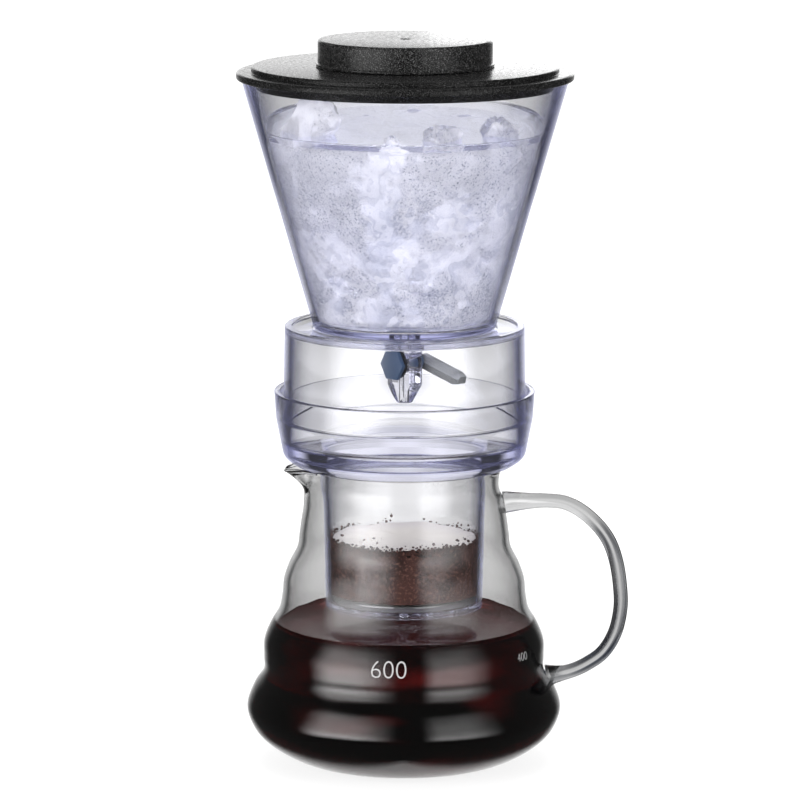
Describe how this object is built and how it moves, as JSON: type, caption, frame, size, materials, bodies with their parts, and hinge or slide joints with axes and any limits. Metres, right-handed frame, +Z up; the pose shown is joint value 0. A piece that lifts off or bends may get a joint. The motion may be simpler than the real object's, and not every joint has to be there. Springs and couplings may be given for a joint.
{
  "type": "cold brew coffee maker",
  "caption": "Ice-drip cold brew coffee maker: a glass server with handle and pouring lip, a clear filter cup, a drip ring, and a lidded ice tank with a drip valve.",
  "frame": {"origin": "centre of the server's flat base, on the table", "axes": "+Z up along the stack, +X towards the handle, -X towards the pouring lip"},
  "size_m": [0.1491, 0.127, 0.2768],
  "materials": {
    "clear_glass": "clear borosilicate glass, fire polished, grey at the edges",
    "clear_plastic": "clear moulded plastic with a blue-violet tint in thick walls and edges",
    "black_plastic": "black moulded plastic with a fine spark-eroded texture",
    "blue_grey_plastic": "satin blue-grey moulded plastic",
    "grey_plastic": "smooth grey moulded plastic",
    "black_rubber": "black rubber",
    "silicone": "frosted translucent silicone",
    "stainless_steel": "fine stainless mesh and screw",
    "ice_and_water": "broken ice in cold water, the contents shown in the tank",
    "brewed_coffee": "dark red-brown brewed coffee, the contents shown in the server",
    "coffee_grounds": "ground coffee and its paper disc, the contents shown in the filter cup",
    "printed_marks": "white level marks printed on the glass"
  },
  "bodies": {
    "server": {"server_glass": "clear_glass", "server_handle": "clear_glass"},
    "dripper": {"filter_cup": "clear_plastic", "filter_disc": "stainless_steel", "filter_seal_ring": "silicone"},
    "ring": {"drip_ring": "clear_plastic"},
    "tank": {"ice_tank": "clear_plastic", "valve_gasket_lower": "silicone", "valve_gasket_upper": "silicone", "valve_lock_nut": "blue_grey_plastic", "valve_body": "clear_plastic"},
    "valve": {"valve_plug": "blue_grey_plastic", "plug_o_ring_front": "black_rubber", "plug_o_ring_rear": "black_rubber", "plug_washer": "black_rubber", "plug_cap_nut": "blue_grey_plastic", "valve_lever": "grey_plastic"},
    "lid": {"lid_plate": "black_plastic", "lid_knob": "black_plastic", "lid_knob_screw": "stainless_steel"}
  },
  "joints": [
    {"name": "dripper_lift", "type": "slide", "parent": "server", "child": "dripper", "axis": [0, 0, 1], "range_m": [0, 0.08]},
    {"name": "ring_lift", "type": "slide", "parent": "dripper", "child": "ring", "axis": [0, 0, 1], "range_m": [0, 0.03]},
    {"name": "tank_lift", "type": "slide", "parent": "ring", "child": "tank", "axis": [0, 0, 1], "range_m": [0, 0.05]},
    {"name": "lid_lift", "type": "slide", "parent": "tank", "child": "lid", "axis": [0, 0, 1], "range_m": [0, 0.03]},
    {"name": "valve_turn", "type": "hinge", "parent": "tank", "child": "valve", "pos_m": [0, 0, 0.15425], "axis": [0.7071, 0.7071, 0], "range_deg": [-14, 76]}
  ]
}
